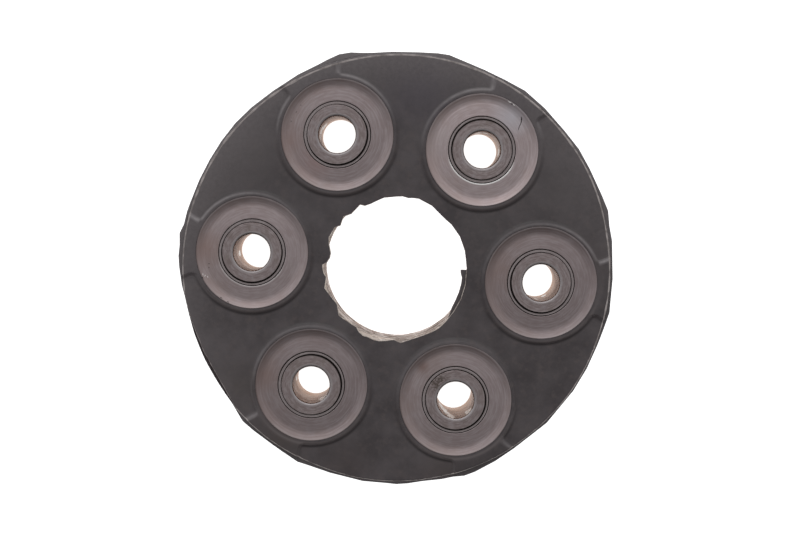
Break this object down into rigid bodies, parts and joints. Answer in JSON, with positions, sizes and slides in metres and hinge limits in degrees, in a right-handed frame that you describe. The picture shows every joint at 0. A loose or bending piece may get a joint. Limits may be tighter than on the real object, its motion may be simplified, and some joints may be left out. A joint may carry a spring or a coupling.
{
  "type": "flexible disc coupling",
  "caption": "Rubber flexible disc coupling for a drive shaft, moulded round steel bushes on one bolt circle, with dished flanges and an open centre hole.",
  "frame": {"origin": "on the disc's axis, halfway between its two faces, which is the centre of the bolt circle", "axes": "+Z along the disc's axis, out of the face with the torn mouth; +X through the centre of bush 1"},
  "size_m": [0.1443, 0.1435, 0.035],
  "materials": {
    "moulded_rubber": "matt, slightly dusty moulded rubber",
    "flange_steel": "dull phosphated steel with faint turning marks",
    "tube_steel": "dull drawn steel",
    "sleeve_steel": "turned dark steel, tan inside the bore",
    "wound_cord": "rubber-dipped polyester cord"
  },
  "bodies": {
    "root": {"rubber_disc": "moulded_rubber", "cord_loop_middle_1": "wound_cord", "cord_loop_upper_1": "wound_cord", "cord_loop_lower_1": "wound_cord", "cord_loop_middle_2": "wound_cord", "cord_loop_upper_2": "wound_cord", "cord_loop_lower_2": "wound_cord", "cord_loop_middle_3": "wound_cord", "cord_loop_upper_3": "wound_cord", "cord_loop_lower_3": "wound_cord", "bolt_sleeve_1": "sleeve_steel", "spool_tube_1": "tube_steel", "upper_flange_1": "flange_steel", "lower_flange_1": "flange_steel", "bolt_sleeve_2": "sleeve_steel", "spool_tube_2": "tube_steel", "upper_flange_2": "flange_steel", "lower_flange_2": "flange_steel", "bolt_sleeve_3": "sleeve_steel", "spool_tube_3": "tube_steel", "upper_flange_3": "flange_steel", "lower_flange_3": "flange_steel", "bolt_sleeve_4": "sleeve_steel", "spool_tube_4": "tube_steel", "upper_flange_4": "flange_steel", "lower_flange_4": "flange_steel", "bolt_sleeve_5": "sleeve_steel", "spool_tube_5": "tube_steel", "upper_flange_5": "flange_steel", "lower_flange_5": "flange_steel", "bolt_sleeve_6": "sleeve_steel", "spool_tube_6": "tube_steel", "upper_flange_6": "flange_steel", "lower_flange_6": "flange_steel"}
  },
  "joints": []
}
